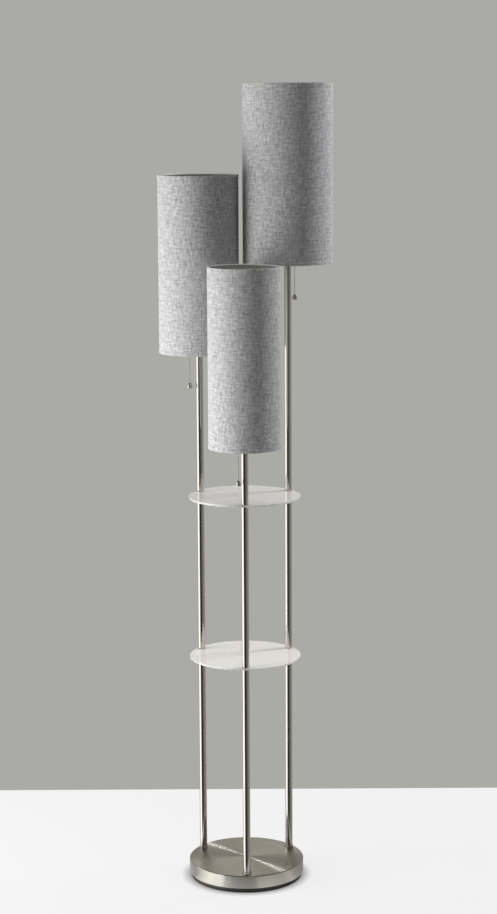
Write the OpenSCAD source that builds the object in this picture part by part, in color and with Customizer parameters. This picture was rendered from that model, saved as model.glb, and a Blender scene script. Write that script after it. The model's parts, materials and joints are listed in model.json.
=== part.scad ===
// Floor lamp with two glass shelves and three tall drum shades at stepped heights, in millimetres.
// The origin is on the floor at the middle of the base, +Z is up and the short lamp stands at -Y.
// Order of the lamps in every list: short (front), medium (left, rear), tall (right, rear).

/* [Layout] */
// Distance of each pole's axis from the middle of the base
pole_radius = 111.5; // [104:0.5:113]
// Height of the short shade's lower rim above the floor
short_rim_z = 984; // [946:0.5:1045]
// Height of the medium shade's lower rim above the floor
medium_rim_z = 1169; // [1106:0.5:1245]
// Height of the tall shade's lower rim above the floor
tall_rim_z = 1362.5; // [1296:0.5:1445]
// Height of the lower shelf's upper face above the floor
lower_shelf_z = 504.5; // [426:0.5:605]
// Height of the upper shelf's upper face above the floor
upper_shelf_z = 861; // [786:0.5:875]

/* [Base] */
// Outside diameter of the base cover
base_d = 254; // [250:1:300]
// Height of the base's upper face above the floor
base_z = 39.5; // [37.5:0.5:55]
// Height of the cover's lower rim above the floor
cover_rim_z = 10.5; // [9.5:0.5:12.5]
// Thickness of the cover's sheet
cover_wall = 1.2; // [0.8:0.1:2]
// Outside radius of the cover's rounded upper edge
cover_edge_r = 2.4; // [2.1:0.1:4]
// Thickness of the soft pad under the base
pad_t = 3; // [2:0.5:3.5]
// How far the tray and the pad stay inside the cover's outside
tray_inset = 5; // [3:0.5:10]

/* [Poles] */
// Outside diameter of the pole tubes
pole_d = 15.9; // [14:0.1:18]
// Wall of the pole tubes
pole_wall = 1; // [0.7:0.1:1.5]
// Length of the threaded plug in each end of a tube
plug_len = 14; // [12:0.5:24]
// Outside diameter of the foot collars
collar_d = 19.4; // [18.8:0.1:24]
// Height of the foot collars
collar_h = 5.5; // [3:0.5:12]
// Outside diameter of the threaded nipples
nipple_d = 9.8; // [8.5:0.1:10.5]
// Bore of the threaded nipples
nipple_bore_d = 6.4; // [5:0.1:7]
// Length of nipple that goes into each plug
nipple_reach = 11; // [8:0.5:12]

/* [Shelves] */
// Diameter of the glass shelves
shelf_d = 243.6; // [240:0.1:254]
// Thickness of the glass shelves
shelf_t = 4; // [3:0.5:8]
// Diameter of the drilled holes in the glass
shelf_hole_d = 11; // [10.8:0.1:12.5]
// Thickness of the soft washers on both faces of the glass
washer_t = 0.8; // [0.5:0.1:2]

/* [Shades] */
// Height of all three shades
shade_h = 383; // [300:1:400]
// Outside diameter of the short shade
short_shade_d = 153.6; // [120:0.1:180]
// Outside diameter of the medium shade
medium_shade_d = 174.4; // [130:0.1:184]
// Outside diameter of the tall shade
tall_shade_d = 194.8; // [140:0.1:204]
// Thickness of the shade fabric
fabric_t = 0.8; // [0.5:0.1:1.5]
// Thickness of the stiff white liner under the fabric
liner_t = 1; // [0.5:0.1:2]
// Diameter of the shade frame's wire
wire_d = 2.6; // [2:0.1:3.5]

/* [Sockets] */
// Height of the pole's upper end above the shade's lower rim
socket_rise = 32; // [20:1:60]
// Outside diameter of the socket shell
shell_d = 34; // [34:0.1:36]
// Length of the socket shell above the socket cap's dome
shell_len = 61; // [60:1:66]
// Wall of the socket shell
shell_wall = 0.6; // [0.5:0.1:0.8]

/* [Pull chains] */
// Distance of the hanging chain from the pole's axis
chain_offset = 21.5; // [21.3:0.1:24]
// Diameter of a chain bead
bead_d = 2.4; // [2:0.1:2.8]
// Diameter of the wire between the beads
link_wire_d = 0.9; // [0.7:0.1:1]
// Spacing of the beads, before it is evened out over the length
bead_pitch = 3.6; // [3.4:0.1:4.5]
// Drop of the knob's lower end below the shade's lower rim
knob_drop = 79; // [60:1:140]
// Largest diameter of the pull knob
knob_d = 11.5; // [8:0.5:14]
// Height of the pull knob
knob_h = 11; // [10:0.5:18]
// How far a chain travels down when it is pulled
pull_travel = 12; // [8:0.5:12]

/* [Bulbs] */
// Diameter of the bulb's globe
bulb_d = 60; // [50:1:70]
// Overall height of the bulb with its cap
bulb_h = 108; // [100:1:130]

/* [Hidden] */
$fn = 96;
// What each lamp is called, where it stands, and which way its chain hangs from its pole
LAMPS = ["short", "medium", "tall"];
rim_z = [short_rim_z, medium_rim_z, tall_rim_z];
shade_d = [short_shade_d, medium_shade_d, tall_shade_d];
pole_turn = [270, 150, 30];
chain_turn = [232, 190, 312];
inlet_turn = 90;
// Clearance of parts that are only laid together, of a thread and of a running axle
fit = 0.1;
thread_fit = 0.05;
run_fit = 0.05;
// Clearance between pieces that move past each other
move_fit = 0.3;
// How far a cut runs past the face that it opens
overrun = 1;
thread_bore_d = nipple_d + 2 * thread_fit;

// Base: weight, recess and channels in its underside, and the nuts
tray_t = cover_rim_z - pad_t;
weight_fit = 0.4;
weight_top_z = base_z - cover_wall;
weight_d = base_d - 2 * (cover_wall + weight_fit);
weight_chamfer = cover_edge_r - cover_wall + move_fit;
channel_w = 9;
channel_h = 10;
hub_recess_d = 46;
nut_flats = 14;
nut_h = 6;
nut_recess_d = 24;
nut_recess_h = 14;
nut_top_z = cover_rim_z + nut_recess_h;
nipple_tail = 1;
collar_chamfer = 0.6;
// Inlet for the supply cord
inlet_bore_d = 6;
inlet_sleeve_d = 8.6;
inlet_flange_d = 13;
inlet_flange_t = 1.6;
inlet_sleeve_len = 7;
inlet_z = cover_rim_z + channel_h / 2 + inlet_flange_t;
// Lead wires and the connectors that join them
lead_d = 2.8;
lead_z = cover_rim_z + lead_d;
tube_sides = 8;
bend_steps = 4;
connector_mouth_d = 9;
connector_tip_d = 6;
connector_len = 18;
connector_gap = 1;

// Socket: every height here is counted from the pole's upper end
hub_r = pole_d / 2;
hub_h = 6;
cap_wall = 0.8;
cap_fit = fit;
cap_r = shell_d / 2 + cap_fit + cap_wall;
dome_z = 12;
cap_rim_z = 16;
shell_low_z = dome_z + cap_wall;
body_r = shell_d / 2 - shell_wall - 2 * fit;
thread_ring_r = 0.5;
thread_pitch = 3.6;
thread_turns = 5;
// Side housing of the shell, round the lever's end and the chain
housing_wall = 1.1;
housing_r = 5;
cavity_r = housing_r - housing_wall;
fork_gap = 1.1;
arm_t = 1.6;
arm_w = 4.4;
fork_slot_w = link_wire_d + 3 * move_fit;
fork_reach = 2;
stop_z = pull_travel / 2 + arm_t / 2 + fork_gap + bead_d;
cavity_half_h = stop_z + 2 * move_fit;
mouth_r = bead_d / 2 + 2 * move_fit;
mouth_wall = 1.3;
mouth_h = 4;
mouth_lift = 0.3;
mouth_z = cap_rim_z + mouth_lift;
axle_z = mouth_z + mouth_h + housing_wall + cavity_half_h;
// Lever that the chain turns
drum_r = 4.5;
drum_w = 5;
axle_r = 1.5;
axle_half_len = 6;
lever_tilt = asin(pull_travel / 2 / chain_offset);
pocket_half_w = drum_w / 2 + 3 * move_fit;
pocket_half_h = (shell_d / 2) * tan(lever_tilt) + arm_t + 2 * move_fit;
// Floor of the bulb's seat, and the pieces in it
seat_z = axle_z + cavity_half_h + housing_wall;
body_wall = 1.9;
screw_fit = 0.2;
screw_r = body_r - body_wall - screw_fit;
screw_wall = 0.5;
screw_h = 24;
contact_t = 0.6;
contact_w = 6;
contact_len = 9;
contact_lift = 1.6;
button_r = 4.5;
button_h = 1;
button_gap = 0.3;
bulb_z = seat_z + contact_t + contact_lift + button_gap;
bulb_cap_h = 25;
bulb_cap_r = screw_r - screw_wall - thread_ring_r - screw_fit;
bulb_taper_h = 4;
glass_t = 1;
neck_share = 0.98;
// Shade fitting: shoulder bead on the shell, fitter ring and nut above it
shoulder_h = 1.6;
shoulder_w = 2;
shoulder_z = 57;
fitter_w = 4;
fitter_t = 1.6;
fitter_nut_w = 4.5;
fitter_nut_h = 6;
arm_turns = [60, 180, 300];
// Places on a chain, counted from the pole's upper end
pivot_drop = 2;
pivot_z = mouth_z - pivot_drop;
knob_top_z = -socket_rise - knob_drop + knob_h;
knob_neck = 2.2;
knob_pivot_z = knob_top_z - knob_neck;
chain_len = pivot_z - knob_pivot_z;
chain_steps = round(chain_len / bead_pitch);
chain_pitch = chain_len / chain_steps;
knob_neck_r = 2.1;
knob_hole_r = 0.95;
knob_mouth_r = 1.3;

// Colours as the photograph shows them
steel = [0.66, 0.65, 0.62];
dark_steel = [0.42, 0.42, 0.41];
iron = [0.25, 0.25, 0.26];
black = [0.08, 0.08, 0.08];
white = [0.94, 0.93, 0.90];
grey_cloth = [0.52, 0.53, 0.54];
frosted = [0.86, 0.90, 0.89, 0.75];
clear = [0.90, 0.92, 0.92, 0.5];
bright = [0.80, 0.80, 0.79];
brass = [0.78, 0.63, 0.34];
bakelite = [0.16, 0.13, 0.11];

LAMP_PARTS = ["lower_pole", "middle_pole", "upper_pole", "socket_cap", "socket_shell", "socket_body",
    "switch_lever", "pull_link", "pull_chain", "pull_knob", "shade_frame", "shade_liner",
    "shade_fabric", "bulb_glass"];
SHARED_PARTS = ["base_cover", "base_weight", "base_tray", "floor_pad", "base_nuts", "foot_collars",
    "cord_bushing", "lead_wires", "wire_connectors", "threaded_nipples", "lower_shelf", "upper_shelf",
    "shelf_washers", "screw_shells", "socket_contacts", "bulb_caps", "fitter_nuts", "shade_top_rings"];

// Places
function pole_xy(lamp) = [pole_radius * cos(pole_turn[lamp]), pole_radius * sin(pole_turn[lamp])];
function pole_top_z(lamp) = rim_z[lamp] + socket_rise;
function liner_r(lamp) = shade_d[lamp] / 2 - fabric_t - liner_t;
function ring_r(lamp) = liner_r(lamp) - wire_d / 2 - fit;

function unit(v) = v / norm(v);
function square_to(v) = unit(cross(v, abs(v[2]) > 1 / 2 ? [1, 0, 0] : [0, 0, 1]));
// Sideways directions carried along a path without twist
function carried(along, side, i = 0) = i == len(along) ? [] :
    let (next = unit(side - along[i] * (side * along[i]))) concat([next], carried(along, next, i + 1));
// A route with each corner replaced by a smooth bend
function rounded(route, bend) = concat(
    [route[0]],
    [for (i = [1 : len(route) - 2]) for (step = [0 : bend_steps])
        let (t = step / bend_steps)
        route[i] + bend * (unit(route[i - 1] - route[i]) * pow(1 - t, 2)
            + unit(route[i + 1] - route[i]) * pow(t, 2))],
    [route[len(route) - 1]]
);

module at_pole(lamp, z = 0) {
    translate([pole_xy(lamp)[0], pole_xy(lamp)[1], z]) children();
}

// Frame of one socket: z = 0 at the pole's upper end and +X towards the pull chain
module at_socket(lamp) {
    at_pole(lamp, pole_top_z(lamp)) rotate([0, 0, chain_turn[lamp]]) children();
}

module at_poles(z = 0) {
    for (lamp = [0 : len(LAMPS) - 1]) at_pole(lamp, z) children();
}

// Common shapes
module ring(outer_r, inner_r, low, high) {
    translate([0, 0, low]) difference() {
        cylinder(r = outer_r, h = high - low);
        translate([0, 0, -overrun]) cylinder(r = inner_r, h = high - low + 2 * overrun);
    }
}

module wire_ring(r, d) {
    rotate_extrude() translate([r, 0]) circle(d = d, $fn = 24);
}

module rod(from, to, d) {
    run = to - from;
    translate(from)
        rotate([0, acos(run[2] / norm(run)), atan2(run[1], run[0])])
        cylinder(d = d, h = norm(run), $fn = 24);
}

// Round tube along a route whose corners are rounded, as one closed mesh
module tube(route, d, bend) {
    path = rounded(route, bend);
    last = len(path) - 1;
    along = [for (i = [0 : last]) unit(path[min(i + 1, last)] - path[max(i - 1, 0)])];
    sides = carried(along, square_to(along[0]));
    polyhedron(
        points = [for (i = [0 : last]) for (k = [0 : tube_sides - 1])
            path[i] + d / 2 * (cos(360 * k / tube_sides) * sides[i]
                + sin(360 * k / tube_sides) * cross(along[i], sides[i]))],
        faces = concat(
            [[for (k = [0 : tube_sides - 1]) tube_sides - 1 - k]],
            [[for (k = [0 : tube_sides - 1]) last * tube_sides + k]],
            [for (i = [0 : last - 1]) for (k = [0 : tube_sides - 1]) for (half = [0, 1])
                let (a = i * tube_sides + k, b = i * tube_sides + (k + 1) % tube_sides)
                half == 0 ? [a, b, b + tube_sides] : [a, b + tube_sides, a + tube_sides]]
        )
    );
}

module hex(flats, low, high) {
    translate([0, 0, low]) cylinder(d = flats / cos(30), h = high - low, $fn = 6);
}

// Base
module base_cover() {
    color(steel) difference() {
        rotate_extrude() difference() {
            cover_outline(base_d / 2, base_z, cover_edge_r);
            cover_outline(base_d / 2 - cover_wall, weight_top_z, cover_edge_r - cover_wall);
        }
        at_poles(weight_top_z - overrun)
            cylinder(d = nipple_d + 2 * fit, h = cover_wall + 2 * overrun);
        at_inlet() cylinder(d = inlet_sleeve_d + 2 * fit, h = 2 * inlet_sleeve_len, center = true);
    }
}

// Half section of a round cap with a rounded upper edge, from the cover's rim up
module cover_outline(r, top, edge_r) {
    translate([0, cover_rim_z]) square([r, top - edge_r - cover_rim_z]);
    translate([0, cover_rim_z]) square([r - edge_r, top - cover_rim_z]);
    intersection() {
        translate([r - edge_r, top - edge_r]) circle(r = edge_r, $fn = 48);
        translate([0, cover_rim_z]) square([r, top - cover_rim_z]);
    }
}

module at_inlet() {
    rotate([0, 0, inlet_turn]) translate([base_d / 2, 0, inlet_z]) rotate([0, 90, 0]) children();
}

module base_weight() {
    color(iron) difference() {
        rotate_extrude() polygon([
            [0, cover_rim_z],
            [weight_d / 2, cover_rim_z],
            [weight_d / 2, weight_top_z - weight_chamfer],
            [weight_d / 2 - weight_chamfer, weight_top_z],
            [0, weight_top_z]
        ]);
        translate([0, 0, cover_rim_z - overrun]) cylinder(d = hub_recess_d, h = channel_h + overrun);
        at_poles(cover_rim_z - overrun) cylinder(d = nut_recess_d, h = nut_recess_h + overrun);
        at_poles(cover_rim_z) cylinder(d = nipple_d + 2 * fit, h = base_z);
        for (lamp = [0 : len(LAMPS) - 1]) channel(pole_turn[lamp], pole_radius);
        channel(inlet_turn, base_d / 2);
        at_inlet() cylinder(d = inlet_flange_d, h = 2 * inlet_sleeve_len, center = true);
    }
}

module channel(turn, run) {
    rotate([0, 0, turn]) translate([0, -channel_w / 2, cover_rim_z - overrun])
        cube([run, channel_w, channel_h + overrun]);
}

module base_tray() {
    color(black) translate([0, 0, pad_t]) cylinder(d = base_d - 2 * tray_inset, h = tray_t);
}

module floor_pad() {
    color(black) cylinder(d = base_d - 2 * tray_inset, h = pad_t);
}

module base_nuts() {
    color(dark_steel) at_poles() difference() {
        hex(nut_flats, nut_top_z - nut_h, nut_top_z);
        translate([0, 0, cover_rim_z]) cylinder(d = thread_bore_d, h = base_z);
    }
}

module foot_collars() {
    color(steel) at_poles(base_z) rotate_extrude() polygon([
        [pole_d / 2 + fit, 0],
        [collar_d / 2, 0],
        [collar_d / 2, collar_h - collar_chamfer],
        [collar_d / 2 - collar_chamfer, collar_h],
        [pole_d / 2 + fit, collar_h]
    ]);
}

module cord_bushing() {
    color(black) at_inlet() difference() {
        union() {
            cylinder(d = inlet_flange_d, h = inlet_flange_t);
            translate([0, 0, -inlet_sleeve_len]) cylinder(d = inlet_sleeve_d, h = inlet_sleeve_len);
        }
        translate([0, 0, -inlet_sleeve_len - overrun])
            cylinder(d = inlet_bore_d, h = inlet_sleeve_len + inlet_flange_t + 2 * overrun);
    }
}

module wire_connectors() {
    side = connector_mouth_d / 2 + connector_gap / 2;
    color("orange") for (x = [-side, side])
        translate([x, -connector_len / 2, cover_rim_z + connector_mouth_d / 2 + fit])
            rotate([-90, 0, 0]) cylinder(d1 = connector_mouth_d, d2 = connector_tip_d, h = connector_len);
}

// Each lead runs down its pole and along the weight's channel to the connectors
module lead_wires() {
    side = connector_mouth_d / 2 + connector_gap / 2;
    bend = hub_recess_d / 2 - lead_d;
    mouth = [0, -connector_len / 2 - lead_d / 2, lead_z];
    color(white) for (lamp = [0 : len(LAMPS) - 1]) {
        way = pole_xy(lamp) / pole_radius;
        top = [pole_xy(lamp)[0], pole_xy(lamp)[1], pole_top_z(lamp) + shell_low_z];
        foot = [pole_xy(lamp)[0], pole_xy(lamp)[1], lead_z];
        inner = [way[0] * bend, way[1] * bend, lead_z];
        turn = [sign(round(way[0])) * bend * cos(45), -bend * sin(45), lead_z];
        end = mouth + [sign(round(way[0])) * side, 0, 0];
        tube(abs(way[0]) > cos(60) ? [top, foot, inner, turn, end] : [top, foot, end],
            lead_d, lead_d);
    }
}

// Poles
module pole(low, high) {
    color(steel) difference() {
        ring(pole_d / 2, thread_bore_d / 2, low, high);
        translate([0, 0, low + plug_len])
            cylinder(d = pole_d - 2 * pole_wall, h = high - low - 2 * plug_len);
    }
}

module lower_pole(lamp) {
    at_pole(lamp) pole(base_z, lower_shelf_z - shelf_t - washer_t);
}

module middle_pole(lamp) {
    at_pole(lamp) pole(lower_shelf_z + washer_t, upper_shelf_z - shelf_t - washer_t);
}

module upper_pole(lamp) {
    at_pole(lamp) pole(upper_shelf_z + washer_t, pole_top_z(lamp));
}

module threaded_nipples() {
    color(dark_steel) {
        at_poles() {
            nipple(nut_top_z - nut_h - nipple_tail, base_z + nipple_reach);
            for (top = [lower_shelf_z, upper_shelf_z])
                nipple(top - shelf_t - washer_t - nipple_reach, top + washer_t + nipple_reach);
        }
        for (lamp = [0 : len(LAMPS) - 1])
            at_pole(lamp, pole_top_z(lamp)) nipple(-nipple_reach, hub_h + cap_wall + nipple_tail);
    }
}

module nipple(low, high) {
    ring(nipple_d / 2, nipple_bore_d / 2, low, high);
}

// Shelves
module shelf(top) {
    color(frosted) difference() {
        translate([0, 0, top - shelf_t]) cylinder(d = shelf_d, h = shelf_t);
        at_poles(top - shelf_t - overrun) cylinder(d = shelf_hole_d, h = shelf_t + 2 * overrun);
    }
}

module shelf_washers() {
    color(clear) at_poles() for (top = [lower_shelf_z, upper_shelf_z]) {
        ring(pole_d / 2, shelf_hole_d / 2, top, top + washer_t);
        ring(pole_d / 2, shelf_hole_d / 2, top - shelf_t - washer_t, top - shelf_t);
    }
}

// Sockets
module socket_cap(lamp) {
    color(steel) at_socket(lamp) rotate_extrude() polygon([
        [thread_bore_d / 2, 0],
        [hub_r, 0],
        [hub_r, hub_h],
        [cap_r, dome_z],
        [cap_r, cap_rim_z],
        [cap_r - cap_wall, cap_rim_z],
        [cap_r - cap_wall, dome_z + cap_wall],
        [hub_r, hub_h + cap_wall],
        [thread_bore_d / 2, hub_h + cap_wall]
    ]);
}

module socket_shell(lamp) {
    color(steel) at_socket(lamp) difference() {
        union() {
            translate([0, 0, shell_low_z]) cylinder(d = shell_d, h = shell_len);
            translate([0, 0, shoulder_z - shoulder_h])
                cylinder(r = shell_d / 2 + shoulder_w, h = shoulder_h);
            housing(housing_r, cavity_half_h + housing_wall);
            translate([chain_offset, 0, mouth_z])
                cylinder(r = mouth_r + mouth_wall, h = mouth_h + housing_wall);
        }
        translate([0, 0, shell_low_z - overrun])
            cylinder(r = shell_d / 2 - shell_wall, h = shell_len + 2 * overrun);
        housing(cavity_r, cavity_half_h);
        translate([chain_offset, 0, mouth_z - overrun])
            cylinder(r = mouth_r, h = mouth_h + housing_wall + 2 * overrun);
    }
}

// Slot with a round outer end, from the socket's axis to the chain
module housing(r, half_h) {
    translate([0, 0, axle_z - half_h]) {
        translate([chain_offset, 0, 0]) cylinder(r = r, h = 2 * half_h);
        translate([shell_d / 4, -r, 0]) cube([chain_offset - shell_d / 4, 2 * r, 2 * half_h]);
    }
}

module socket_body(lamp) {
    color(bakelite) at_socket(lamp) difference() {
        translate([0, 0, shell_low_z]) cylinder(r = body_r, h = seat_z + screw_h - shell_low_z);
        translate([0, 0, seat_z]) cylinder(r = body_r - body_wall, h = screw_h + overrun);
        translate([-drum_r - 2 * move_fit, -pocket_half_w, axle_z - pocket_half_h])
            cube([drum_r + shell_d, 2 * pocket_half_w, 2 * pocket_half_h]);
        translate([0, 0, axle_z]) rotate([90, 0, 0])
            cylinder(r = axle_r + run_fit, h = 2 * (axle_half_len + move_fit), center = true);
    }
}

module screw_shells() {
    color(brass) for (lamp = [0 : len(LAMPS) - 1]) at_socket(lamp) difference() {
        ring(screw_r, screw_r - screw_wall, seat_z, seat_z + screw_h);
        thread_rings(screw_r - screw_wall);
    }
}

// Rings that stand for the rolled thread of the bulb's seat
module thread_rings(r) {
    for (turn = [1 : thread_turns])
        translate([0, 0, bulb_z + button_h + bulb_taper_h + (turn - 1 / 2) * thread_pitch])
            wire_ring(r - thread_ring_r / 2, thread_ring_r * 2);
}

module socket_contacts() {
    color(brass) for (lamp = [0 : len(LAMPS) - 1]) at_socket(lamp)
        translate([0, contact_w / 2, seat_z]) rotate([90, 0, 0]) linear_extrude(contact_w) polygon([
            [-contact_len, 0],
            [-contact_len / 3, 0],
            [0, contact_lift],
            [button_r, contact_lift],
            [button_r, contact_lift + contact_t],
            [-contact_t / 2, contact_lift + contact_t],
            [-contact_len / 3 - contact_t / 2, contact_t],
            [-contact_len, contact_t]
        ]);
}

module switch_lever(lamp) {
    color(bakelite) at_socket(lamp) translate([0, 0, axle_z]) {
        rotate([90, 0, 0]) cylinder(r = axle_r, h = 2 * axle_half_len, center = true);
        rotate([90, 0, 0]) cylinder(r = drum_r, h = drum_w, center = true);
        rotate([0, -lever_tilt, 0]) difference() {
            translate([0, -arm_w / 2, -arm_t / 2]) cube([chain_offset + fork_reach, arm_w, arm_t]);
            translate([chain_offset - fork_reach, -fork_slot_w / 2, -arm_t])
                cube([3 * fork_reach, fork_slot_w, 2 * arm_t]);
        }
    }
}

// Pull chains
module bead(z) {
    translate([chain_offset, 0, z]) sphere(d = bead_d, $fn = 32);
}

module chain_wire(low, high) {
    translate([chain_offset, 0, low]) cylinder(d = link_wire_d, h = high - low, $fn = 24);
}

// The link's two upper beads hold the lever's fork between them
module pull_link(lamp) {
    top = axle_z + stop_z - bead_d / 2;
    under = axle_z + pull_travel / 2 - arm_t / 2 - fork_gap - bead_d / 2;
    low = pivot_z + bead_d / 2 + move_fit;
    color(bright) at_socket(lamp) {
        bead(top);
        for (z = [under : -bead_pitch : low + bead_d / 2]) bead(z);
        chain_wire(low, top);
    }
}

module pull_chain(lamp) {
    color(bright) at_socket(lamp) {
        for (step = [0 : chain_steps]) bead(pivot_z - step * chain_pitch);
        chain_wire(knob_pivot_z, pivot_z);
    }
}

module pull_knob(lamp) {
    bead_room = bead_d / 2 + move_fit / 2;
    color(bright) at_socket(lamp) translate([chain_offset, 0, knob_top_z]) difference() {
        rotate_extrude() knob_outline();
        translate([0, 0, -knob_neck]) sphere(r = bead_room, $fn = 32);
        translate([0, 0, -knob_neck]) cylinder(r1 = knob_hole_r / 2, r2 = knob_mouth_r, h = knob_neck);
        translate([0, 0, -overrun / 4]) cylinder(r = knob_mouth_r, h = overrun);
    }
}

// Bell: a small flat top that swells through a dome to a rounded skirt
module knob_outline() {
    skirt_share = 0.16;
    swell_shares = [[0, 0], [0.05, 0.16], [0.12, 0.32], [0.22, 0.48], [0.34, 0.62], [0.48, 0.74],
        [0.62, 0.84], [0.76, 0.94], [0.86, 1]];
    polygon(concat(
        [[0, 0]],
        [for (share = swell_shares)
            [knob_neck_r + share[1] * (knob_d / 2 - knob_neck_r), -share[0] * knob_h]],
        [[knob_d / 2, -knob_h * (1 - skirt_share / 4)],
            [knob_d / 2 * (1 - skirt_share), -knob_h],
            [0, -knob_h]]
    ));
}

// Shades
module shade_frame(lamp) {
    rim = -socket_rise + wire_d / 2;
    inner = shell_d / 2 + fit;
    outer = inner + fitter_w;
    color(dark_steel) at_socket(lamp) {
        translate([0, 0, rim]) wire_ring(ring_r(lamp), wire_d);
        ring(outer, inner, shoulder_z, shoulder_z + fitter_t);
        for (turn = arm_turns) rotate([0, 0, turn])
            rod([outer - fitter_w / 4, 0, shoulder_z + fitter_t / 2], [ring_r(lamp), 0, rim],
                wire_d - 2 * fit);
    }
}

module shade_top_rings() {
    color(dark_steel) for (lamp = [0 : len(LAMPS) - 1])
        at_pole(lamp, rim_z[lamp] + shade_h - wire_d / 2) wire_ring(ring_r(lamp), wire_d);
}

module shade_liner(lamp) {
    color(white) at_pole(lamp)
        ring(liner_r(lamp) + liner_t, liner_r(lamp), rim_z[lamp], rim_z[lamp] + shade_h);
}

module shade_fabric(lamp) {
    color(grey_cloth) at_pole(lamp)
        ring(shade_d[lamp] / 2, shade_d[lamp] / 2 - fabric_t, rim_z[lamp], rim_z[lamp] + shade_h);
}

module fitter_nuts() {
    inner = shell_d / 2 + thread_fit;
    low = shoulder_z + fitter_t;
    color(bakelite) for (lamp = [0 : len(LAMPS) - 1]) at_socket(lamp)
        ring(inner + fitter_nut_w, inner, low, low + fitter_nut_h);
}

// Bulbs
module bulb_caps() {
    taper_z = bulb_z + button_h;
    color(bright) for (lamp = [0 : len(LAMPS) - 1]) at_socket(lamp) {
        translate([0, 0, bulb_z]) cylinder(r = button_r, h = button_h);
        translate([0, 0, taper_z]) cylinder(r1 = button_r, r2 = bulb_cap_r, h = bulb_taper_h);
        translate([0, 0, taper_z + bulb_taper_h])
            cylinder(r = bulb_cap_r, h = bulb_cap_h - button_h - bulb_taper_h);
        thread_rings(bulb_cap_r);
    }
}

module bulb_glass(lamp) {
    low = bulb_z + bulb_cap_h;
    middle = bulb_z + bulb_h - bulb_d / 2;
    color(clear) at_socket(lamp) rotate_extrude() difference() {
        bulb_outline(bulb_d / 2, bulb_cap_r * neck_share, low, middle);
        bulb_outline(bulb_d / 2 - glass_t, bulb_cap_r * neck_share - glass_t, low, middle);
    }
}

// Half section of a globe on a neck that meets it at 45 degrees below its middle
module bulb_outline(globe_r, neck_r, low, middle) {
    steps = 8;
    join_r = globe_r * cos(45);
    join_z = middle - globe_r * sin(45);
    rise = join_z - low;
    intersection() {
        translate([0, middle]) circle(r = globe_r);
        translate([0, join_z]) square([globe_r, 2 * globe_r]);
    }
    polygon(concat(
        [[0, low]],
        [for (i = [0 : steps]) let (t = i / steps)
            [neck_r + (join_r - neck_r) * (3 * t * t - 2 * t * t * t) + rise * (t * t * t - t * t),
                low + rise * t]],
        [[0, join_z]]
    ));
}

for (lamp = [0 : len(LAMPS) - 1]) {
    name = str(LAMPS[lamp], "_");
    lower_pole(lamp);
    middle_pole(lamp);
    upper_pole(lamp);
    socket_cap(lamp);
    socket_shell(lamp);
    socket_body(lamp);
    switch_lever(lamp);
    pull_link(lamp);
    pull_chain(lamp);
    pull_knob(lamp);
    shade_frame(lamp);
    shade_liner(lamp);
    shade_fabric(lamp);
    bulb_glass(lamp);
}
base_cover();
base_weight();
base_tray();
floor_pad();
base_nuts();
foot_collars();
cord_bushing();
lead_wires();
wire_connectors();
threaded_nipples();
shelf(lower_shelf_z);  // lower_shelf
shelf(upper_shelf_z);  // upper_shelf
shelf_washers();
screw_shells();
socket_contacts();
bulb_caps();
fitter_nuts();
shade_top_rings();
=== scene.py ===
"""Floor lamp with two glass shelves and three drum shades: looks, stage, light and camera."""

import json
import math

import bmesh
import bpy
from mathutils import Matrix, Vector, noise


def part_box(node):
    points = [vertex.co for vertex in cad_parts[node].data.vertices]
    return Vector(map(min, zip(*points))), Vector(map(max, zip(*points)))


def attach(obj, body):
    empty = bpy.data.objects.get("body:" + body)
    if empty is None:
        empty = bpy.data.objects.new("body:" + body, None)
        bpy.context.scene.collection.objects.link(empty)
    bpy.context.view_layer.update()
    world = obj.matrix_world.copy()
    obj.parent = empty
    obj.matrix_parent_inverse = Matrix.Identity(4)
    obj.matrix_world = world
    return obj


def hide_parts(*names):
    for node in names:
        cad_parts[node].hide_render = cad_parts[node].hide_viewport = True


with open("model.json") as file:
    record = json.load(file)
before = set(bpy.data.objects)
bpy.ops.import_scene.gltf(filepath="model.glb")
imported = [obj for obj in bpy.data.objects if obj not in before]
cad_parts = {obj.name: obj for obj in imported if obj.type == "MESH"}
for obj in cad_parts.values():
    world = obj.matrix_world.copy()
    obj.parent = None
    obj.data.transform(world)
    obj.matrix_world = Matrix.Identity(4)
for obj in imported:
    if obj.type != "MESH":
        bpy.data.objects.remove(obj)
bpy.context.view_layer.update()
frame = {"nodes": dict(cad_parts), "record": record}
NODES = frame["nodes"]
LAMPS = ("short", "medium", "tall")

# Lengths are in metres, angles named so are in degrees, colours and levels are linear
MM = 0.001
TURN = 2.0 * math.pi

# Camera that matches the photograph: the image's longer side and the focal length are in pixels of
# the 497 x 914 image, the sensor is in millimetres
IMAGE_LONG_SIDE = 914
SENSOR = 36.0
FOCAL_PIXELS = 2158.75
CAMERA_SIDE = 0.00904
CAMERA_BACK = 4.6227
CAMERA_HEIGHT = 1.7177
CAMERA_PITCH = 9.483
CAMERA_ROLL = -0.30
CAMERA_TURN = -0.392
CAMERA_CLIP = (0.05, 60.0)

# Wall and floor
WALL_DISTANCE = 0.594
WALL_COLOUR = (0.402, 0.407, 0.381, 1.0)
FLOOR_REACH = 1.2
FLOOR_COLOUR = (0.80, 0.80, 0.80, 1.0)
# What the camera sees of the floor: its own glow and a little of the light that falls on it
FLOOR_GLOW = 0.775
FLOOR_LIT = (0.10, 0.10, 0.10, 1.0)
# The base's contact shadow: its reach, its darkest glow and the open share where that is reached
CONTACT_REACH = 0.024
CONTACT_GLOW = 0.12
CONTACT_OPEN = 0.25
CONTACT_SAMPLES = 8

# Light on cloth and glass: from all round, and more from overhead. A rise is the upward part of a
# direction, 0 when level and 1 straight up; each pair of rises is where a change starts and ends.
FILL = (0.100, 0.100, 0.103)
TOP_FILL = 1.40
TOP_FILL_RISE = (0.70, 0.92)

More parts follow.
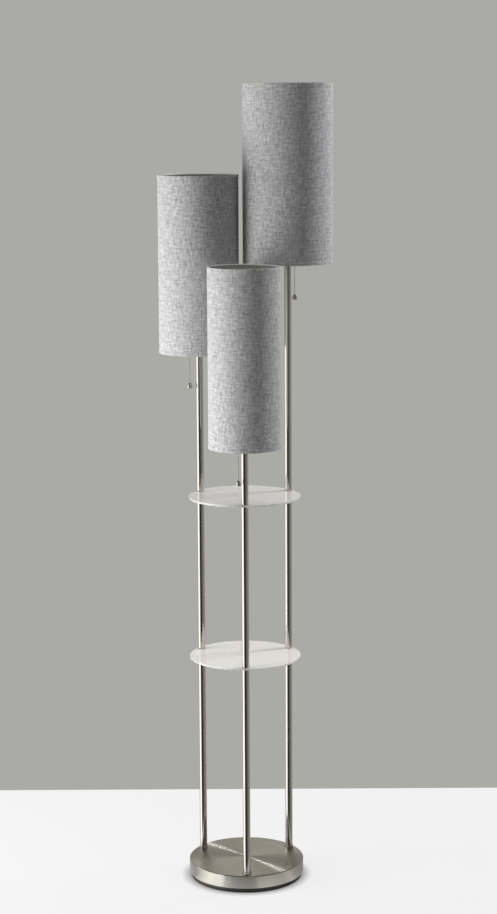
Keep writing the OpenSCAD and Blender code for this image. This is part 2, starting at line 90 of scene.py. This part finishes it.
# What metal shows level with it and below, as (azimuth in degrees from the front, level)
RAMP_UNIT = 2.0
MIRRORED_STUDIO = ((-180, 0.40), (-122, 0.40), (-110, 1.75), (-52, 1.75), (-42, 0.02), (-15, 0.02),
                   (18, 0.10), (60, 0.26), (105, 0.38), (180, 0.40))
# Painted reflection on the floor: how brightly the floor near the base glows to metal, by azimuth
MIRRORED_FLOOR = ((-180, 0.60), (-122, 0.60), (-94, 0.60), (-77, 0.55), (-69, 1.05), (-52, 1.66),
                  (-43, 1.54), (-34, 1.48), (-25, 0.96), (-16, 0.66), (-8, 0.58), (3, 0.52),
                  (9, 0.52), (17, 0.84), (26, 0.86), (43, 0.74), (52, 0.70), (64, 0.82), (77, 0.50),
                  (94, 0.36), (130, 0.50), (180, 0.60))
STUDIO_TINT = (1.0, 0.985, 0.95, 1.0)
# Distances from the lamp's axis between which the mirrored floor gives way to the studio
MIRRORED_FLOOR_EDGE = (0.200, 0.290)
# What metal shows overhead
MIRRORED_TOP = 0.15
MIRRORED_TOP_RISE = (0.10, 0.62)
TOP_TINT = (1.05, 0.965, 0.875, 1.0)
# A soft lamp behind the top left, as metal shows it: its direction, cosines of its edge and level
SOFT_LAMP = (-0.16, 0.78, 0.605)
SOFT_LAMP_EDGE = (0.930, 0.985)
SOFT_LAMP_LEVEL = 0.60

# Lamps that metal doesn't show: (azimuth in degrees, distance, height), (width, height), radiance
KEY_PLACE = (-77.0, 1.80, 0.76)
KEY_SIZE = (1.38, 1.48)
KEY_RADIANCE = 8.3
KEY_COLOUR = (1.0, 1.0, 1.0)
SIDE_PLACE = (111.5, 1.985, 2.126)
SIDE_SIZE = (0.62, 1.57)
SIDE_RADIANCE = 14.3
SIDE_COLOUR = (0.97, 0.97, 1.0)
# Small distant lamp that draws the thin line across the turned base: the direction towards it,
# its strength and its width in degrees
SPARK = (0.153, 0.779, 0.608)
SPARK_ENERGY = 0.048
SPARK_WIDTH = 0.9


def turned(degrees, axis):
    return Matrix.Rotation(math.radians(degrees), 4, axis)


def new_object(name, data):
    made = bpy.data.objects.new(name, data)
    bpy.context.scene.collection.objects.link(made)
    return made


def make_camera():
    data = bpy.data.cameras.new("camera")
    data.sensor_width = SENSOR
    data.lens = FOCAL_PIXELS * SENSOR / IMAGE_LONG_SIDE
    data.clip_start, data.clip_end = CAMERA_CLIP
    camera = new_object("camera", data)
    place = Matrix.Translation((CAMERA_SIDE, -CAMERA_BACK, CAMERA_HEIGHT))
    pitch = turned(90.0 - CAMERA_PITCH, "X")
    roll = turned(CAMERA_ROLL, "Z")
    camera.matrix_world = turned(CAMERA_TURN, "Z") @ place @ pitch @ roll
    bpy.context.scene.camera = camera


# Shader building


class Shader:
    """Nodes of a material or of the world, added one call at a time.

    A value is a number, a colour, a vector or the output of another node.
    """

    def __init__(self, owner):
        owner.use_nodes = True
        self.owner = owner
        self.tree = owner.node_tree
        self.surface = self.tree.nodes.get("Principled BSDF")

    def add(self, kind, inputs=None, **settings):
        node = self.tree.nodes.new(kind)
        for key, value in settings.items():
            setattr(node, key, value)
        for key, value in (inputs or {}).items():
            self.feed(node.inputs[key], value)
        return node

    def feed(self, socket, value):
        if isinstance(value, bpy.types.NodeSocket):
            self.tree.links.new(value, socket)
        else:
            socket.default_value = value

    def set(self, **values):
        """Sockets of the surface, by name with _ for a space."""
        for key, value in values.items():
            self.feed(self.surface.inputs[key.replace("_", " ")], value)

    def maths(self, operation, a, b=0.0):
        return self.add("ShaderNodeMath", {0: a, 1: b}, operation=operation).outputs[0]

    def total(self, first, *others):
        """Sum of values, added in turn."""
        for other in others:
            first = self.maths("ADD", first, other)
        return first

    def vector(self, operation, a, b=(0.0, 0.0, 0.0)):
        """Vector operation; a length or a dot product gives a number."""
        node = self.add("ShaderNodeVectorMath", {0: a, 1: b}, operation=operation)
        return node.outputs["Value" if operation in ("LENGTH", "DOT_PRODUCT") else "Vector"]

    def parts(self, vector):
        return self.add("ShaderNodeSeparateXYZ", {0: vector}).outputs

    def join(self, x, y, z):
        return self.add("ShaderNodeCombineXYZ", {0: x, 1: y, 2: z}).outputs[0]

    def place(self):
        """Point on the surface, in metres, carried along by the piece."""
        return self.add("ShaderNodeTexCoord").outputs["Object"]

    def normal(self):
        return self.add("ShaderNodeNewGeometry").outputs["Normal"]

    def rays(self):
        """Two shares: rays that see a thing, also through glass, and rays that metal mirrors."""
        path = self.add("ShaderNodeLightPath").outputs
        seen = self.maths("MAXIMUM", path["Is Camera Ray"], path["Is Transmission Ray"])
        return seen, path["Is Glossy Ray"]

    def stretched(self, point, scale, detail=3.0, roughness=0.55):
        """Noise with its own number of cells per metre along each direction."""
        scaled = self.vector("MULTIPLY", point, scale)
        node = self.add("ShaderNodeTexNoise", {"Vector": scaled, "Scale": 1.0, "Detail": detail,
                                               "Roughness": roughness})
        return node.outputs["Fac"]

    def even(self, point, cells, detail):
        """Noise with the same number of cells per metre in every direction."""
        return self.stretched(point, (cells, cells, cells), detail)

    def spread(self, value, low, high, start=0.0, end=1.0, kind="LINEAR"):
        """low to high as the value goes from start to end."""
        node = self.add("ShaderNodeMapRange", {"Value": value, "From Min": start, "From Max": end,
                                               "To Min": low, "To Max": high},
                        interpolation_type=kind)
        return node.outputs["Result"]

    def eased(self, value, low, high, span):
        return self.spread(value, low, high, *span, kind="SMOOTHSTEP")

    def both_ways(self, value, reach, middle=0.0):
        """A 0 to 1 value as one that goes as far under the middle as over it."""
        return self.spread(value, middle - reach, middle + reach)

    def grey(self, value):
        return self.join(value, value, value)

    def shade(self, colour, factor):
        """Colour times a factor that varies."""
        return self.vector("MULTIPLY", self.grey(factor), colour)

    def mix(self, share, first, second):
        """First colour where the share is 0, second where it is 1."""
        node = self.add("ShaderNodeMix", {0: share, "A": first, "B": second}, data_type="RGBA")
        return node.outputs["Result"]

    def mix_shader(self, share, first, second):
        return self.add("ShaderNodeMixShader", {0: share, 1: first, 2: second}).outputs[0]

    def azimuth(self, x, y):
        """0 to 1 round the vertical from the rear over the left, 0.5 at the front."""
        turn = self.maths("ARCTAN2", x, self.maths("MULTIPLY", y, -1.0))
        return self.maths("ADD", self.maths("MULTIPLY", turn, 1.0 / TURN), 0.5)

    def ramp(self, value, stops):
        """Level that follows (azimuth in degrees, level) stops, eased between them."""
        node = self.add("ShaderNodeValToRGB", {"Fac": value})
        node.color_ramp.interpolation = "EASE"
        marks = node.color_ramp.elements
        places = [0.5 + azimuth / 360.0 for azimuth, level in stops]
        marks[0].position = places[0]
        marks[1].position = places[-1]
        for place in places[1:-1]:
            marks.new(place)
        for mark, (azimuth, level) in zip(marks, stops):
            grey = level / RAMP_UNIT
            mark.color = (grey, grey, grey, 1.0)
        return self.maths("MULTIPLY", node.outputs["Color"], RAMP_UNIT)

    def bump(self, height, distance, strength):
        node = self.add("ShaderNodeBump", {"Height": height, "Distance": distance,
                                           "Strength": strength})
        return node.outputs["Normal"]


# Materials. Noise is given in cells per metre, its tones as factors of the colour.


def straight_brushed(name, colour, roughness):
    """Metal brushed along the vertical, as a pole drawn through a belt."""
    s = Shader(bpy.data.materials.new(name))
    point = s.place()
    lines = s.stretched(point, (1500.0, 1500.0, 5.0))
    cloud = s.stretched(point, (22.0, 22.0, 4.0), 2.0)
    s.set(Metallic=1.0, Anisotropic=0.35,
          Base_Color=s.shade(colour, s.spread(lines, 0.93, 1.05)),
          Roughness=s.total(s.spread(lines, roughness - 0.03, roughness + 0.04),
                            s.both_ways(cloud, 0.01)),
          Normal=s.bump(lines, 0.004 * MM, 0.5))
    return s.owner


# Steepest side of a turned groove on a level face
GROOVE_SLOPE = 0.80


def round_brushed(name, colour, roughness):
    """Metal turned on a lathe: fine grooves in circles round the vertical axis."""
    s = Shader(bpy.data.materials.new(name))
    point = s.place()
    level = s.vector("MULTIPLY", point, (1.0, 1.0, 0.0))
    outward = s.vector("NORMALIZE", level)
    across = s.maths("ADD", s.vector("LENGTH", level), s.parts(point)[2])
    outward_parts = s.parts(outward)
    groove = s.join(across, outward_parts[0], outward_parts[1])
    lines = s.stretched(groove, (1400.0, 2.2, 2.2), 4.0, 0.65)
    wide = s.stretched(groove, (220.0, 1.3, 1.3), 3.0)
    fine = s.stretched(groove, (5200.0, 1.1, 1.1), 2.0, 0.7)
    cloud = s.even(point, 26.0, 2.0)
    normal = s.normal()
    slope = s.maths("MULTIPLY", s.both_ways(fine, GROOVE_SLOPE), s.parts(normal)[2])
    tilted = s.vector("ADD", normal, s.shade(outward, slope))
    s.set(Metallic=1.0, Anisotropic=1.0, Anisotropic_Rotation=0.25,
          Base_Color=s.shade(colour, s.total(s.spread(lines, 0.90, 1.06), s.both_ways(wide, 0.04))),
          Roughness=s.total(s.spread(lines, roughness - 0.03, roughness + 0.04),
                            s.both_ways(cloud, 0.012)),
          Tangent=s.add("ShaderNodeTangent", direction_type="RADIAL", axis="Z").outputs[0],
          Normal=s.vector("NORMALIZE", tilted))
    return s.owner


def plain_metal(name, colour, roughness, grain=900.0, depth=0.02 * MM, spots=0.0):
    """Plated or cast metal with a fine even grain and faint clouds, darker where it is spotted."""
    s = Shader(bpy.data.materials.new(name))
    point = s.place()
    fine = s.even(point, grain, 4.0)
    cloud = s.even(point, 60.0, 3.0)
    s.set(Metallic=1.0,
          Base_Color=s.shade(colour, s.total(s.spread(fine, 0.94, 1.05),
                                             s.spread(cloud, -0.05 - spots, 0.05))),
          Roughness=s.spread(cloud, roughness - 0.05, roughness + 0.08),
          Normal=s.bump(fine, depth, 0.5))
    return s.owner


def moulded(name, colour, roughness, grain=1100.0, depth=0.03 * MM, **constants):
    """Moulded or coated surface with a fine grain and slightly uneven tone."""
    s = Shader(bpy.data.materials.new(name))
    point = s.place()
    fine = s.even(point, grain, 3.0)
    cloud = s.even(point, 45.0, 2.0)
    s.set(Base_Color=s.shade(colour, s.total(s.spread(fine, 0.95, 1.03), s.both_ways(cloud, 0.04))),
          Roughness=s.both_ways(cloud, 0.06, roughness),
          Normal=s.bump(fine, depth, 0.6), **constants)
    return s.owner


def frosted(name, colour, roughness, clear, edge, polish):
    """Ground glass: passes and scatters light, with a fine tooth and faint wipe marks.

    clear is the share of light that passes through a level face and edge the share that passes
    through an upright one, the cut edge, where the rest scatters inside the glass. polish is a
    smooth clear top layer.
    """
    s = Shader(bpy.data.materials.new(name))
    point = s.place()
    tooth = s.even(point, 1500.0, 2.0)
    wipes = s.stretched(point, (7.0, 22.0, 9.0), 3.0)
    level = s.maths("ABSOLUTE", s.parts(s.normal())[2])
    s.set(Base_Color=s.shade(colour, s.spread(wipes, 0.975, 1.0)),
          Transmission_Weight=s.spread(level, edge, clear), IOR=1.45,
          Subsurface_Weight=s.spread(level, 1.0, 0.0), Subsurface_Scale=20.0 * MM,
          Subsurface_Radius=(1.0, 1.0, 1.0),
          Roughness=s.total(s.both_ways(tooth, 0.03, roughness), s.both_ways(wipes, 0.03)),
          Coat_Weight=polish, Coat_Roughness=0.03,
          Normal=s.bump(tooth, 0.01 * MM, 0.3))
    return s.owner


# Weave: width of a yarn; how far tone goes up and down along a yarn, at slubs in the warp and the
# weft and in blotches; the darkest tone; how high slubs stand and the depth of it all
YARN_WIDTH = 0.9 * MM
YARN_TONE = 0.65
WARP_SLUB_TONE = 0.62
WEFT_SLUB_TONE = 0.54
BLOTCH_TONE = 0.62
DARKEST_TONE = 0.33
SLUB_HEIGHT = 2.2
WEAVE_DEPTH = 0.10 * MM


def heather_cloth(name, colour):
    """Plain weave of mottled yarns with slubs, laid out on the cloth's own metres."""
    s = Shader(bpy.data.materials.new(name))
    cloth = s.add("ShaderNodeUVMap").outputs["UV"]
    warp = s.stretched(cloth, (900.0, 26.0, 1.0), 3.0, 0.6)
    weft = s.stretched(cloth, (26.0, 900.0, 1.0), 3.0, 0.6)
    warp_slub = s.stretched(cloth, (300.0, 45.0, 1.0), 3.0, 0.6)
    weft_slub = s.stretched(cloth, (40.0, 300.0, 1.0), 3.0, 0.6)
    blotch = s.stretched(cloth, (170.0, 170.0, 1.0), 4.0, 0.65)
    over = s.add("ShaderNodeTexChecker", {"Vector": cloth, "Scale": 1.0 / YARN_WIDTH}).outputs["Fac"]
    under = s.maths("SUBTRACT", 1.0, over)

    def on_top(warp_value, weft_value):
        """The warp's value where it lies over the weft, and the weft's elsewhere."""
        return s.maths("ADD", s.maths("MULTIPLY", warp_value, over),
                       s.maths("MULTIPLY", weft_value, under))

    def rounded(across):
        """Height over each yarn's width."""
        turn = s.maths("MULTIPLY", across, math.pi / YARN_WIDTH)
        return s.maths("ABSOLUTE", s.maths("SINE", turn))

    cloth_parts = s.parts(cloth)
    yarn = on_top(rounded(cloth_parts[0]), rounded(cloth_parts[1]))
    slubs = s.total(s.both_ways(warp_slub, WARP_SLUB_TONE), s.both_ways(weft_slub, WEFT_SLUB_TONE))
    tone = s.total(s.both_ways(on_top(warp, weft), YARN_TONE, 1.0), slubs,
                   s.both_ways(blotch, BLOTCH_TONE))
    # Painted shade and light on the yarns: each yarn darker at its edges, in the gaps between yarns,
    # and a little lighter over its crown
    tone = s.maths("MULTIPLY", tone, s.spread(yarn, 0.80, 1.06))
    relief = s.total(yarn, s.both_ways(warp_slub, SLUB_HEIGHT), s.both_ways(weft_slub, SLUB_HEIGHT))
    s.set(Base_Color=s.shade(colour, s.maths("MAXIMUM", tone, DARKEST_TONE)),
          Roughness=s.spread(yarn, 0.95, 0.82),
          Sheen_Weight=0.08, Sheen_Roughness=0.5, Specular_IOR_Level=0.25,
          Normal=s.bump(relief, WEAVE_DEPTH, 0.8))
    return s.owner


def make_materials():
    """A material for each slot, by its name: colour, roughness and what its kind adds."""
    return {
        "pole_steel": straight_brushed("pole_steel", (0.64, 0.62, 0.575), 0.11),
        "base_steel": round_brushed("base_steel", (0.53, 0.515, 0.455), 0.20),
        "socket_metal": plain_metal("socket_metal", (0.66, 0.65, 0.61), 0.28),
        "zinc_steel": plain_metal("zinc_steel", (0.55, 0.55, 0.53), 0.38, spots=0.05),
        "frame_wire": moulded("frame_wire", (0.83, 0.83, 0.80), 0.38, grain=700.0),
        "bright_metal": plain_metal("bright_metal", (0.60, 0.59, 0.56), 0.14),
        "cast_iron": plain_metal("cast_iron", (0.10, 0.10, 0.105), 0.62, grain=420.0,
                                 depth=0.3 * MM, spots=0.1),
        "brass": plain_metal("brass", (0.76, 0.58, 0.28), 0.26),
        "cap_aluminium": plain_metal("cap_aluminium", (0.80, 0.80, 0.79), 0.32),
        "black_plastic": moulded("black_plastic", (0.027, 0.026, 0.024), 0.6),
        "black_pad": moulded("black_pad", (0.021, 0.019, 0.017), 0.93, grain=500.0,
                             depth=0.3 * MM),
        "dark_plastic": moulded("dark_plastic", (0.060, 0.050, 0.042), 0.34),
        "wire_jacket": moulded("wire_jacket", (0.85, 0.84, 0.80), 0.42),
        "connector_plastic": moulded("connector_plastic", (0.75, 0.28, 0.05), 0.36),
        "clear_washer": frosted("clear_washer", (0.90, 0.92, 0.92), 0.30, clear=0.85, edge=0.85,
                                polish=0.0),
        "frosted_glass": frosted("frosted_glass", (0.970, 0.961, 0.910), 0.42, clear=0.10,
                                 edge=0.42, polish=0.7),
        "bulb_glass": moulded("bulb_glass", (0.88, 0.87, 0.84), 0.30, grain=600.0,
                              depth=0.01 * MM, Coat_Weight=0.35, Coat_Roughness=0.12),
        "white_liner": moulded("white_liner", (0.62, 0.615, 0.59), 0.42, grain=300.0,
                               depth=0.02 * MM),
        "grey_fabric": heather_cloth("grey_fabric", (0.485, 0.485, 0.485)),
    }


# Mesh building


def mesh_piece(name, points, faces, slot, smooth_angle, uvs=None):
    """Piece on the root body; edges sharper than smooth_angle, in degrees, stay sharp."""
    mesh = bpy.data.meshes.new(name)
    mesh.from_pydata(points, [], faces)
    if uvs is not None:
        layer = mesh.uv_layers.new(name="cloth")
        for face in mesh.polygons:
            for corner in face.loop_indices:
                layer.data[corner].uv = uvs(face.index, mesh.loops[corner].vertex_index)
    bm = bmesh.new()
    bm.from_mesh(mesh)
    bmesh.ops.recalc_face_normals(bm, faces=bm.faces)
    bm.to_mesh(mesh)
    bm.free()
    mesh.shade_smooth()
    mesh.set_sharp_from_angle(angle=math.radians(smooth_angle))
    piece = new_object(name, mesh)
    mesh.materials.append(MATERIALS[slot])
    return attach(piece, "root")


def lathe(name, centre, profile, angles, slot, shape, cloth_radius=None):
    """Closed profile of (radius, height), turned about a vertical axis.

    shape(angle, radius, height) may move a point; cloth_radius lays the surface out flat as UVs.
    """
    rows, columns = len(profile), len(angles)
    points = []
    for angle in angles:
        for point in profile:
            radius, height = shape(angle, *point)
            points.append((centre.x + radius * math.cos(angle),
                           centre.y + radius * math.sin(angle), height))
    faces = []
    for column in range(columns):
        following = (column + 1) % columns
        for row in range(rows):
            above = (row + 1) % rows
            faces.append((column * rows + row, following * rows + row,
                          following * rows + above, column * rows + above))

    def laid_flat(face, vertex):
        """The last column of faces ends a whole turn on, not back at the start."""
        column = vertex // rows
        angle = angles[column]
        if face // rows == columns - 1 and column == 0:
            angle += TURN
        return (angle * cloth_radius, points[vertex][2])

    return mesh_piece(name, points, faces, slot, 38.0, laid_flat if cloth_radius else None)


def steps(start, end, count):
    """Even steps from start to end, without the two ends."""
    return [start + (end - start) * i / count for i in range(1, count)]


# Shades: thickness of the cloth and of the film that lines it, and the gaps between the two
FABRIC_T = 0.8 * MM
LINER_T = 1.0 * MM
CLOTH_GAP = 0.02 * MM
FILM_GAP = 0.04 * MM
# How far the film stops short of the cloth's ends, and the bevel of its inner edges
FILM_SHORT = 0.2 * MM
FILM_BEVEL = 0.15 * MM
# Cloth turned in over each rim, what the hem stands proud, and the height of the rim's profile
HEM_SWELL = 0.45 * MM
RIM_H = 9.0 * MM
# Seam: the lap's width, the step at its edges, its place, and the film's own step under it
SEAM_W = 12.0 * MM
SEAM_STEP = 0.5 * MM
SEAM_ANGLE = math.radians(90.0)
FILM_STEP = 0.3 * MM
# How far the cloth waves in and out
CLOTH_WAVE = 0.10 * MM
SHADE_SIDES = 168
WALL_ROWS = 36
BACK_ROWS = 8
FILM_ROWS = 6


def shade_angles(radius):
    """Even steps round the shade, with a few more at the seam's two edges."""
    angles = [SEAM_ANGLE + TURN * i / SHADE_SIDES for i in range(SHADE_SIDES)]
    half = SEAM_W / 2.0 / radius
    step = SEAM_STEP / radius
    for edge in (half, -half):
        for nudge in (-step, 0.0, step):
            angles.append(SEAM_ANGLE + (edge + nudge) % TURN)
    return sorted(set(angles))


def seam_share(angle, radius):
    """1 on the overlap of the cloth, 0 elsewhere, with short ramps between."""
    off = abs((angle - SEAM_ANGLE + math.pi) % TURN - math.pi) * radius
    return max(0.0, min(1.0, (SEAM_W / 2.0 - off) / SEAM_STEP + 0.5))


def cloth_profile(radius, low, high):
    """Cloth on the film, turned over both of its edges with a narrow hem at each rim."""
    inside = radius - FABRIC_T
    lip = inside - LINER_T

    def rim(edge, up):
        """From the lip inside, round the edge and out over the hem; heights in millimetres."""
        hem = radius + HEM_SWELL
        shape = [(lip - CLOTH_GAP, 0.45), (lip - 0.40 * MM, 0.45), (lip - 0.45 * MM, 0.0),
                 (lip - 0.15 * MM, -0.30), (radius - 1.2 * MM, -0.42), (radius - 0.2 * MM, -0.38),
                 (radius + 0.28 * MM, -0.05), (hem, 0.6), (hem, 2.5), (hem, 5.0), (hem, 7.3),
                 (radius + 0.30 * MM, 7.8), (radius - 0.08 * MM, 8.15), (radius, 9.0)]
        return [(r, edge + up * h * MM) for r, h in shape]

    wall = [(radius, z) for z in steps(low + RIM_H, high - RIM_H, WALL_ROWS)]
    lip_face, back_face = lip - CLOTH_GAP, inside - CLOTH_GAP
    top, bottom = high - 0.15 * MM, low + 0.15 * MM
    back = [(lip_face, top), (back_face, top)]
    back += [(back_face, z) for z in steps(high, low, BACK_ROWS)]
    back += [(back_face, bottom), (lip_face, bottom)]
    return rim(low, 1.0) + wall + rim(high, -1.0)[::-1] + back


def film_profile(inner, low, high):
    """Film that lines the cloth, bevelled inside at both of its edges."""
    outer = inner + LINER_T - FILM_GAP
    bevelled = inner + FILM_BEVEL
    bottom, top = low + FILM_SHORT, high - FILM_SHORT
    film = [(inner, bottom + FILM_BEVEL), (bevelled, bottom), (outer, bottom)]
    film += [(outer, z) for z in steps(low, high, FILM_ROWS)]
    film += [(outer, top), (bevelled, top), (inner, top - FILM_BEVEL)]
    film += [(inner, z) for z in steps(high, low, FILM_ROWS)]
    return film


def make_shade(lamp):
    low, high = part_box(lamp + "_shade_fabric")
    centre = (low + high) / 2.0
    radius = (high.x - low.x) / 2.0
    inner = radius - FABRIC_T - LINER_T
    angles = shade_angles(radius)
    # Each shade waves by its own part of the noise
    seed = Vector((LAMPS.index(lamp) * 7.3, 1.7, 4.1))

    def uneven(angle, r, z):
        """The cloth's outside swells a little at its seam and is never quite flat."""
        if r > radius - FABRIC_T / 2.0:
            r += SEAM_STEP * seam_share(angle, radius)
            way = Vector((math.cos(angle) * 2.5, math.sin(angle) * 2.5, z * 14.0))
            r += CLOTH_WAVE * noise.noise(way + seed)
        return r, z

    def lapped(angle, r, z):
        """The film's inside stands in a little where it overlaps."""
        if r < inner + LINER_T / 2.0:
            r -= FILM_STEP * seam_share(angle, radius)
        return r, z

    cloth = lathe(lamp + "_shade_cloth", centre, cloth_profile(radius, low.z, high.z), angles,
                  "grey_fabric", uneven, radius)
    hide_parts(lamp + "_shade_fabric")
    film = lathe(lamp + "_shade_film", centre, film_profile(inner, low.z, high.z), angles,
                 "white_liner", lapped)
    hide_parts(lamp + "_shade_liner")


# Glass shelves: the bevel of every edge with the corner in it, and the holes for the nipples
BEVEL = 0.5 * MM
BEVEL_CORNER = (0.15 * MM, 0.12 * MM)
HOLE_R = 5.5 * MM
RIM_SIDES = 192
HOLE_SIDES = 48


def make_shelf(node, holes):
    low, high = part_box(node)
    radius = (high.x - low.x) / 2.0
    centre = (low + high) / 2.0
    loops = [(centre.x, centre.y, radius, RIM_SIDES, 1.0)]
    loops += [(x, y, HOLE_R, HOLE_SIDES, -1.0) for x, y in holes]
    corner, drop = BEVEL_CORNER
    levels = [(BEVEL, high.z), (corner, high.z - drop), (0.0, high.z - BEVEL),
              (0.0, low.z + BEVEL), (corner, low.z + drop), (BEVEL, low.z)]
    bm = bmesh.new()
    caps = {0: [], len(levels) - 1: []}
    for x, y, r, sides, sign in loops:
        rings = []
        for inset, z in levels:
            size = r - sign * inset
            rings.append([bm.verts.new((x + size * math.cos(TURN * i / sides),
                                        y + size * math.sin(TURN * i / sides), z))
                          for i in range(sides)])
        for upper, lower in zip(rings, rings[1:]):
            for i in range(sides):
                j = (i + 1) % sides
                bm.faces.new((upper[i], upper[j], lower[j], lower[i]))
        for level, edges in caps.items():
            ring = rings[level]
            edges += [bm.edges.get((ring[i], ring[(i + 1) % sides])) for i in range(sides)]
    for edges in caps.values():
        bmesh.ops.triangle_fill(bm, use_beauty=True, use_dissolve=False, edges=edges)
    bm.verts.index_update()
    points = [tuple(v.co) for v in bm.verts]
    faces = [tuple(v.index for v in face.verts) for face in bm.faces]
    bm.free()
    glass = mesh_piece(node + "_glass", points, faces, "frosted_glass", 15.0)
    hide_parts(node)


# Stage and light


def stage_floor():
    """Pale floor that ends at the wall line; it keeps the lamp's soft shadow.

    To metal, near the base, the floor glows by azimuth with a painted reflection of studio panels;
    further out the metal shows the studio instead.
    """
    side = FLOOR_REACH
    corners = [(-side, -side, 0.0), (side, -side, 0.0), (side, WALL_DISTANCE, 0.0),
               (-side, WALL_DISTANCE, 0.0)]
    mesh = bpy.data.meshes.new("floor")
    mesh.from_pydata(corners, [], [(0, 1, 2, 3)])
    floor = new_object("floor", mesh)
    floor.matrix_world = turned(CAMERA_TURN, "Z")
    s = Shader(bpy.data.materials.new("floor"))
    s.set(Base_Color=FLOOR_COLOUR, Roughness=0.9, Specular_IOR_Level=0.0)
    seen, mirrored = s.rays()
    shadow = s.add("ShaderNodeAmbientOcclusion", {"Distance": CONTACT_REACH},
                   samples=CONTACT_SAMPLES)
    glow = s.spread(shadow.outputs["AO"], CONTACT_GLOW, FLOOR_GLOW, CONTACT_OPEN, 1.0)
    glowing = s.add("ShaderNodeEmission", {"Color": (1.0, 1.0, 1.0, 1.0), "Strength": glow})
    lit = s.add("ShaderNodeBsdfDiffuse", {"Color": FLOOR_LIT})
    pale = s.add("ShaderNodeAddShader", {0: glowing.outputs[0], 1: lit.outputs[0]})
    point = s.place()
    x, y, z = s.parts(point)
    near = s.spread(s.vector("LENGTH", point), 1.0, 0.0, *MIRRORED_FLOOR_EDGE)
    # Painted reflection: to metal, the floor near the base glows by azimuth in place of studio
    # panels
    bright = s.add("ShaderNodeEmission", {"Strength": s.ramp(s.azimuth(x, y), MIRRORED_FLOOR)})
    gone = s.add("ShaderNodeBsdfTransparent")
    in_metal = s.mix_shader(near, gone.outputs[0], bright.outputs[0])
    unseen = s.mix_shader(mirrored, s.surface.outputs[0], in_metal)
    shown = s.mix_shader(seen, unseen, pale.outputs[0])
    s.feed(s.tree.nodes["Material Output"].inputs["Surface"], shown)
    mesh.materials.append(s.owner)


def stage_world():
    """Grey wall for the camera; in metal a studio with a bright panel at the left."""
    world = bpy.data.worlds.new("studio")
    bpy.context.scene.world = world
    s = Shader(world)
    seen, mirrored = s.rays()
    way = s.add("ShaderNodeTexCoord").outputs["Generated"]
    x, y, rise = s.parts(way)
    high = s.eased(rise, 0.0, 1.0, MIRRORED_TOP_RISE)
    around = s.maths("MULTIPLY", s.ramp(s.azimuth(x, y), MIRRORED_STUDIO),
                     s.maths("SUBTRACT", 1.0, high))
    above = s.maths("MULTIPLY", high, MIRRORED_TOP)
    lamp = s.eased(s.vector("DOT_PRODUCT", way, SOFT_LAMP), 0.0, SOFT_LAMP_LEVEL, SOFT_LAMP_EDGE)
    studio = s.shade(s.mix(high, STUDIO_TINT, TOP_TINT), s.total(around, above, lamp))
    light = s.vector("ADD", s.grey(s.eased(rise, 0.0, TOP_FILL, TOP_FILL_RISE)), FILL)
    background = s.tree.nodes["Background"]
    s.feed(background.inputs["Color"], s.mix(seen, s.mix(mirrored, light, studio), WALL_COLOUR))
    s.feed(background.inputs["Strength"], 1.0)


def new_lamp(name, data, turn):
    lamp = new_object(name, data)
    lamp.rotation_mode = "QUATERNION"
    lamp.rotation_quaternion = turn
    return lamp


def area_lamp(name, place, size, radiance, colour):
    """Rectangular lamp that faces the object's axis at its own height."""
    data = bpy.data.lights.new(name, "AREA")
    data.shape = "RECTANGLE"
    data.size, data.size_y = size
    data.energy = radiance * math.pi * size[0] * size[1]
    data.color = colour
    azimuth, distance, height = place
    turn = math.radians(azimuth)
    spot = Vector((distance * math.sin(turn), -distance * math.cos(turn), height))
    lamp = new_lamp(name, data, (Vector((0.0, 0.0, height)) - spot).to_track_quat("-Z", "Y"))
    lamp.location = spot
    lamp.visible_camera = False
    lamp.visible_glossy = False


def make_lights():
    area_lamp("key", KEY_PLACE, KEY_SIZE, KEY_RADIANCE, KEY_COLOUR)
    area_lamp("side", SIDE_PLACE, SIDE_SIZE, SIDE_RADIANCE, SIDE_COLOUR)
    data = bpy.data.lights.new("spark", "SUN")
    data.energy = SPARK_ENERGY
    data.angle = math.radians(SPARK_WIDTH)
    data.use_shadow = False
    new_lamp("spark", data, Vector(SPARK).to_track_quat("Z", "Y"))


bpy.context.scene.view_settings.view_transform = "Standard"
make_camera()
MATERIALS = make_materials()
for row in frame["record"]["subparts"]:
    solid = NODES[row["node"]]
    solid.data.materials.clear()
    solid.data.materials.append(MATERIALS[row["material_slot"]])
for lamp_name in LAMPS:
    make_shade(lamp_name)
POLE_BOXES = [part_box(lamp_name + "_lower_pole") for lamp_name in LAMPS]
POLES = [((low + high) / 2.0).to_2d() for low, high in POLE_BOXES]
for shelf_name in ("lower_shelf", "upper_shelf"):
    make_shelf(shelf_name, POLES)
stage_floor()
stage_world()
make_lights()
bpy.context.view_layer.update()
